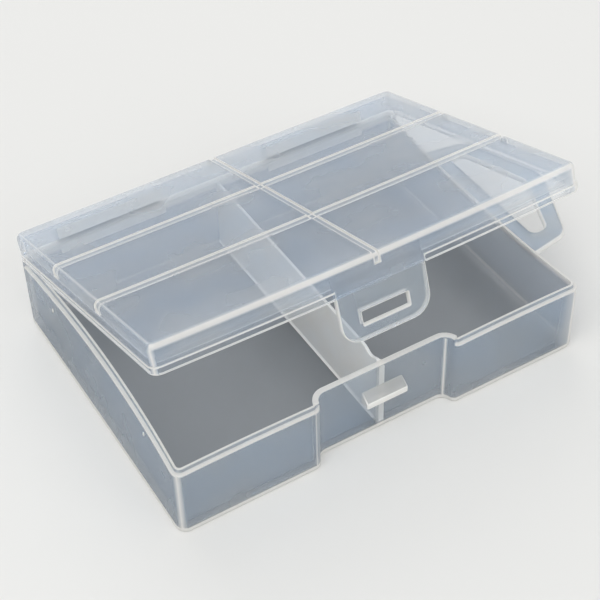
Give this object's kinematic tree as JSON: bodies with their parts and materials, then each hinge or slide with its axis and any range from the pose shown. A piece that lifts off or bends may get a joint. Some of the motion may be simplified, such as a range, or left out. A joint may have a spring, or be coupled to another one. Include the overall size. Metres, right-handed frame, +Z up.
{
  "type": "battery storage case",
  "caption": "Shallow clamshell battery case: divided tray, lid on living hinges, slotted snap tab over a catch in a finger recess, and a hanging loop at one side.",
  "frame": {"origin": "centre of the tray's underside", "axes": "+X to the right, towards the hanging loop; +Y to the back, where the hinges are; +Z up"},
  "size_m": [0.1317, 0.0862, 0.0543],
  "materials": {
    "tray_shell": "frosted clear polypropylene, as moulded",
    "tray_divider": "frosted clear polypropylene, as moulded",
    "tray_catch": "frosted clear polypropylene, as moulded",
    "tray_loop": "frosted clear polypropylene, as moulded",
    "hinge_leaf": "frosted clear polypropylene, as moulded",
    "hinge_web": "frosted clear polypropylene, as moulded",
    "lid_shell": "frosted clear polypropylene, as moulded",
    "latch_tab": "frosted clear polypropylene, as moulded"
  },
  "bodies": {
    "tray": {"base_tray": "tray_shell", "divider": "tray_divider", "latch_catch": "tray_catch", "hang_loop": "tray_loop", "tray_hinge_leaf_left": "hinge_leaf", "tray_hinge_leaf_right": "hinge_leaf", "hinge_web_left": "hinge_web", "hinge_web_right": "hinge_web"},
    "lid": {"lid": "lid_shell", "lid_hinge_leaf_left": "hinge_leaf", "lid_hinge_leaf_right": "hinge_leaf"},
    "latch": {"latch_tab": "latch_tab"}
  },
  "joints": [
    {"name": "lid_hinge", "type": "hinge", "parent": "tray", "child": "lid", "pos_m": [0, 0.044, 0.0212], "axis": [-1, 0, 0], "range_deg": [-19, 161]},
    {"name": "latch_flex", "type": "hinge", "parent": "lid", "child": "latch", "pos_m": [0, -0.03703, 0.04788], "axis": [-1, 0, 0], "range_deg": [0, 25], "stiffness_Nm_per_rad": 0.06}
  ]
}
